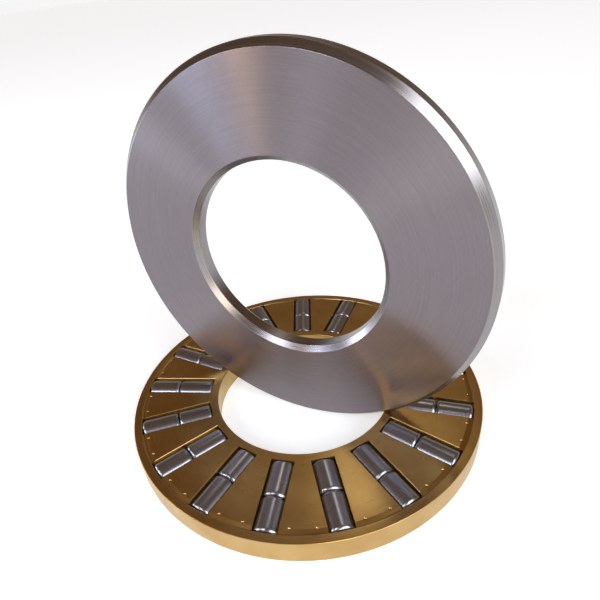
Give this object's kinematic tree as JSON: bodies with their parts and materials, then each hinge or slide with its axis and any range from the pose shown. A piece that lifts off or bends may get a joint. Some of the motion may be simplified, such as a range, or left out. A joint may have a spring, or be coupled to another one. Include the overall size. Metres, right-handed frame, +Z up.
{
  "type": "cylindrical roller thrust bearing",
  "caption": "Flat thrust bearing cage with paired short cylindrical rollers in radial pockets, and a flat washer standing upright on the cage's bore.",
  "frame": {"origin": "on the cage's axis, in the plane that the rollers' lowest lines stand on", "axes": "+Z up along the cage's axis; the upright washer's axis lies along Y, so its flat faces look along -Y and +Y"},
  "size_m": [0.16, 0.16, 0.1603],
  "materials": {
    "cage_brass": "machined, satin",
    "roller_steel": "ground and polished",
    "washer_steel": "face ground"
  },
  "bodies": {
    "cage": {"cage": "cage_brass"},
    "washer": {"washer": "washer_steel"},
    "roller_inner_01": {"roller_inner_01": "roller_steel"},
    "roller_inner_02": {"roller_inner_02": "roller_steel"},
    "roller_inner_03": {"roller_inner_03": "roller_steel"},
    "roller_inner_04": {"roller_inner_04": "roller_steel"},
    "roller_inner_05": {"roller_inner_05": "roller_steel"},
    "roller_inner_06": {"roller_inner_06": "roller_steel"},
    "roller_inner_07": {"roller_inner_07": "roller_steel"},
    "roller_inner_08": {"roller_inner_08": "roller_steel"},
    "roller_inner_09": {"roller_inner_09": "roller_steel"},
    "roller_inner_10": {"roller_inner_10": "roller_steel"},
    "roller_inner_11": {"roller_inner_11": "roller_steel"},
    "roller_inner_12": {"roller_inner_12": "roller_steel"},
    "roller_inner_13": {"roller_inner_13": "roller_steel"},
    "roller_inner_14": {"roller_inner_14": "roller_steel"},
    "roller_inner_15": {"roller_inner_15": "roller_steel"},
    "roller_inner_16": {"roller_inner_16": "roller_steel"},
    "roller_inner_17": {"roller_inner_17": "roller_steel"},
    "roller_outer_01": {"roller_outer_01": "roller_steel"},
    "roller_outer_02": {"roller_outer_02": "roller_steel"},
    "roller_outer_03": {"roller_outer_03": "roller_steel"},
    "roller_outer_04": {"roller_outer_04": "roller_steel"},
    "roller_outer_05": {"roller_outer_05": "roller_steel"},
    "roller_outer_06": {"roller_outer_06": "roller_steel"},
    "roller_outer_07": {"roller_outer_07": "roller_steel"},
    "roller_outer_08": {"roller_outer_08": "roller_steel"},
    "roller_outer_09": {"roller_outer_09": "roller_steel"},
    "roller_outer_10": {"roller_outer_10": "roller_steel"},
    "roller_outer_11": {"roller_outer_11": "roller_steel"},
    "roller_outer_12": {"roller_outer_12": "roller_steel"},
    "roller_outer_13": {"roller_outer_13": "roller_steel"},
    "roller_outer_14": {"roller_outer_14": "roller_steel"},
    "roller_outer_15": {"roller_outer_15": "roller_steel"},
    "roller_outer_16": {"roller_outer_16": "roller_steel"},
    "roller_outer_17": {"roller_outer_17": "roller_steel"}
  },
  "joints": [
    {"name": "roller_inner_01_turn", "type": "hinge", "parent": "cage", "child": "roller_inner_01", "pos_m": [-0.05179, 0.0009, 0.006], "axis": [-0.9998, 0.0175, 0], "continuous": true},
    {"name": "roller_inner_02_turn", "type": "hinge", "parent": "cage", "child": "roller_inner_02", "pos_m": [-0.04937, -0.01814, 0.006], "axis": [-0.9386, -0.3449, 0], "continuous": true},
    {"name": "roller_inner_03_turn", "type": "hinge", "parent": "cage", "child": "roller_inner_03", "pos_m": [-0.03888, -0.03422, 0.006], "axis": [-0.7507, -0.6607, 0], "continuous": true},
    {"name": "roller_inner_04_turn", "type": "hinge", "parent": "cage", "child": "roller_inner_04", "pos_m": [-0.02426, -0.04667, 0.006], "axis": [-0.4613, -0.8872, 0], "continuous": true},
    {"name": "roller_inner_05_turn", "type": "hinge", "parent": "cage", "child": "roller_inner_05", "pos_m": [-0.00568, -0.05149, 0.006], "axis": [-0.1096, -0.994, 0], "continuous": true},
    {"name": "roller_inner_06_turn", "type": "hinge", "parent": "cage", "child": "roller_inner_06", "pos_m": [0.01351, -0.05084, 0.006], "axis": [0.2568, -0.9665, 0], "continuous": true},
    {"name": "roller_inner_07_turn", "type": "hinge", "parent": "cage", "child": "roller_inner_07", "pos_m": [0.03049, -0.04188, 0.006], "axis": [0.5886, -0.8084, 0], "continuous": true},
    {"name": "roller_inner_08_turn", "type": "hinge", "parent": "cage", "child": "roller_inner_08", "pos_m": [0.04423, -0.02847, 0.006], "axis": [0.8409, -0.5412, 0], "continuous": true},
    {"name": "roller_inner_09_turn", "type": "hinge", "parent": "cage", "child": "roller_inner_09", "pos_m": [0.05074, -0.01041, 0.006], "axis": [0.9796, -0.2009, 0], "continuous": true},
    {"name": "roller_inner_10_turn", "type": "hinge", "parent": "cage", "child": "roller_inner_10", "pos_m": [0.05187, 0.00876, 0.006], "axis": [0.986, 0.1666, 0], "continuous": true},
    {"name": "roller_inner_11_turn", "type": "hinge", "parent": "cage", "child": "roller_inner_11", "pos_m": [0.04451, 0.0265, 0.006], "axis": [0.8593, 0.5115, 0], "continuous": true},
    {"name": "roller_inner_12_turn", "type": "hinge", "parent": "cage", "child": "roller_inner_12", "pos_m": [0.03243, 0.04142, 0.006], "axis": [0.6165, 0.7874, 0], "continuous": true},
    {"name": "roller_inner_13_turn", "type": "hinge", "parent": "cage", "child": "roller_inner_13", "pos_m": [0.01504, 0.04957, 0.006], "axis": [0.2904, 0.9569, 0], "continuous": true},
    {"name": "roller_inner_14_turn", "type": "hinge", "parent": "cage", "child": "roller_inner_14", "pos_m": [-0.00394, 0.05245, 0.006], "axis": [-0.0749, 0.9972, 0], "continuous": true},
    {"name": "roller_inner_15_turn", "type": "hinge", "parent": "cage", "child": "roller_inner_15", "pos_m": [-0.02228, 0.04677, 0.006], "axis": [-0.43, 0.9028, 0], "continuous": true},
    {"name": "roller_inner_16_turn", "type": "hinge", "parent": "cage", "child": "roller_inner_16", "pos_m": [-0.03825, 0.03611, 0.006], "axis": [-0.7271, 0.6865, 0], "continuous": true},
    {"name": "roller_inner_17_turn", "type": "hinge", "parent": "cage", "child": "roller_inner_17", "pos_m": [-0.04797, 0.01955, 0.006], "axis": [-0.926, 0.3775, 0], "continuous": true},
    {"name": "roller_outer_01_turn", "type": "hinge", "parent": "cage", "child": "roller_outer_01", "pos_m": [-0.06779, 0.00118, 0.006], "axis": [-0.9998, 0.0175, 0], "continuous": true},
    {"name": "roller_outer_02_turn", "type": "hinge", "parent": "cage", "child": "roller_outer_02", "pos_m": [-0.06439, -0.02366, 0.006], "axis": [-0.9386, -0.3449, 0], "continuous": true},
    {"name": "roller_outer_03_turn", "type": "hinge", "parent": "cage", "child": "roller_outer_03", "pos_m": [-0.05089, -0.0448, 0.006], "axis": [-0.7507, -0.6607, 0], "continuous": true},
    {"name": "roller_outer_04_turn", "type": "hinge", "parent": "cage", "child": "roller_outer_04", "pos_m": [-0.03164, -0.06087, 0.006], "axis": [-0.4613, -0.8872, 0], "continuous": true},
    {"name": "roller_outer_05_turn", "type": "hinge", "parent": "cage", "child": "roller_outer_05", "pos_m": [-0.00743, -0.06739, 0.006], "axis": [-0.1096, -0.994, 0], "continuous": true},
    {"name": "roller_outer_06_turn", "type": "hinge", "parent": "cage", "child": "roller_outer_06", "pos_m": [0.01762, -0.0663, 0.006], "axis": [0.2568, -0.9665, 0], "continuous": true},
    {"name": "roller_outer_07_turn", "type": "hinge", "parent": "cage", "child": "roller_outer_07", "pos_m": [0.03991, -0.05481, 0.006], "axis": [0.5886, -0.8084, 0], "continuous": true},
    {"name": "roller_outer_08_turn", "type": "hinge", "parent": "cage", "child": "roller_outer_08", "pos_m": [0.05769, -0.03713, 0.006], "axis": [0.8409, -0.5412, 0], "continuous": true},
    {"name": "roller_outer_09_turn", "type": "hinge", "parent": "cage", "child": "roller_outer_09", "pos_m": [0.06642, -0.01362, 0.006], "axis": [0.9796, -0.2009, 0], "continuous": true},
    {"name": "roller_outer_10_turn", "type": "hinge", "parent": "cage", "child": "roller_outer_10", "pos_m": [0.06764, 0.01143, 0.006], "axis": [0.986, 0.1666, 0], "continuous": true},
    {"name": "roller_outer_11_turn", "type": "hinge", "parent": "cage", "child": "roller_outer_11", "pos_m": [0.05826, 0.03468, 0.006], "axis": [0.8593, 0.5115, 0], "continuous": true},
    {"name": "roller_outer_12_turn", "type": "hinge", "parent": "cage", "child": "roller_outer_12", "pos_m": [0.04229, 0.05401, 0.006], "axis": [0.6165, 0.7874, 0], "continuous": true},
    {"name": "roller_outer_13_turn", "type": "hinge", "parent": "cage", "child": "roller_outer_13", "pos_m": [0.01969, 0.06488, 0.006], "axis": [0.2904, 0.9569, 0], "continuous": true},
    {"name": "roller_outer_14_turn", "type": "hinge", "parent": "cage", "child": "roller_outer_14", "pos_m": [-0.00514, 0.06841, 0.006], "axis": [-0.0749, 0.9972, 0], "continuous": true},
    {"name": "roller_outer_15_turn", "type": "hinge", "parent": "cage", "child": "roller_outer_15", "pos_m": [-0.02916, 0.06121, 0.006], "axis": [-0.43, 0.9028, 0], "continuous": true},
    {"name": "roller_outer_16_turn", "type": "hinge", "parent": "cage", "child": "roller_outer_16", "pos_m": [-0.04988, 0.04709, 0.006], "axis": [-0.7271, 0.6865, 0], "continuous": true},
    {"name": "roller_outer_17_turn", "type": "hinge", "parent": "cage", "child": "roller_outer_17", "pos_m": [-0.06278, 0.02559, 0.006], "axis": [-0.926, 0.3775, 0], "continuous": true},
    {"name": "washer_turn", "type": "hinge", "parent": "cage", "child": "washer", "pos_m": [0, 0, 0.08029], "axis": [0, 1, 0], "continuous": true}
  ],
  "couplings": [
    {"joint": "roller_inner_02_turn", "follows": "roller_inner_01_turn", "ratio": 1.0154},
    {"joint": "roller_inner_03_turn", "follows": "roller_inner_01_turn", "ratio": 1},
    {"joint": "roller_inner_04_turn", "follows": "roller_inner_01_turn", "ratio": 1.0154},
    {"joint": "roller_inner_05_turn", "follows": "roller_inner_01_turn", "ratio": 1},
    {"joint": "roller_inner_06_turn", "follows": "roller_inner_01_turn", "ratio": 1.0154},
    {"joint": "roller_inner_07_turn", "follows": "roller_inner_01_turn", "ratio": 1},
    {"joint": "roller_inner_08_turn", "follows": "roller_inner_01_turn", "ratio": 1.0154},
    {"joint": "roller_inner_09_turn", "follows": "roller_inner_01_turn", "ratio": 1},
    {"joint": "roller_inner_10_turn", "follows": "roller_inner_01_turn", "ratio": 1.0154},
    {"joint": "roller_inner_11_turn", "follows": "roller_inner_01_turn", "ratio": 1},
    {"joint": "roller_inner_12_turn", "follows": "roller_inner_01_turn", "ratio": 1.0154},
    {"joint": "roller_inner_13_turn", "follows": "roller_inner_01_turn", "ratio": 1},
    {"joint": "roller_inner_14_turn", "follows": "roller_inner_01_turn", "ratio": 1.0154},
    {"joint": "roller_inner_15_turn", "follows": "roller_inner_01_turn", "ratio": 1},
    {"joint": "roller_inner_16_turn", "follows": "roller_inner_01_turn", "ratio": 1.0154},
    {"joint": "roller_inner_17_turn", "follows": "roller_inner_01_turn", "ratio": 1},
    {"joint": "roller_outer_01_turn", "follows": "roller_inner_01_turn", "ratio": 1.3089},
    {"joint": "roller_outer_02_turn", "follows": "roller_inner_01_turn", "ratio": 1.3243},
    {"joint": "roller_outer_03_turn", "follows": "roller_inner_01_turn", "ratio": 1.3089},
    {"joint": "roller_outer_04_turn", "follows": "roller_inner_01_turn", "ratio": 1.3243},
    {"joint": "roller_outer_05_turn", "follows": "roller_inner_01_turn", "ratio": 1.3089},
    {"joint": "roller_outer_06_turn", "follows": "roller_inner_01_turn", "ratio": 1.3243},
    {"joint": "roller_outer_07_turn", "follows": "roller_inner_01_turn", "ratio": 1.3089},
    {"joint": "roller_outer_08_turn", "follows": "roller_inner_01_turn", "ratio": 1.3243},
    {"joint": "roller_outer_09_turn", "follows": "roller_inner_01_turn", "ratio": 1.3089},
    {"joint": "roller_outer_10_turn", "follows": "roller_inner_01_turn", "ratio": 1.3243},
    {"joint": "roller_outer_11_turn", "follows": "roller_inner_01_turn", "ratio": 1.3089},
    {"joint": "roller_outer_12_turn", "follows": "roller_inner_01_turn", "ratio": 1.3243},
    {"joint": "roller_outer_13_turn", "follows": "roller_inner_01_turn", "ratio": 1.3089},
    {"joint": "roller_outer_14_turn", "follows": "roller_inner_01_turn", "ratio": 1.3243},
    {"joint": "roller_outer_15_turn", "follows": "roller_inner_01_turn", "ratio": 1.3089},
    {"joint": "roller_outer_16_turn", "follows": "roller_inner_01_turn", "ratio": 1.3243},
    {"joint": "roller_outer_17_turn", "follows": "roller_inner_01_turn", "ratio": 1.3089}
  ]
}
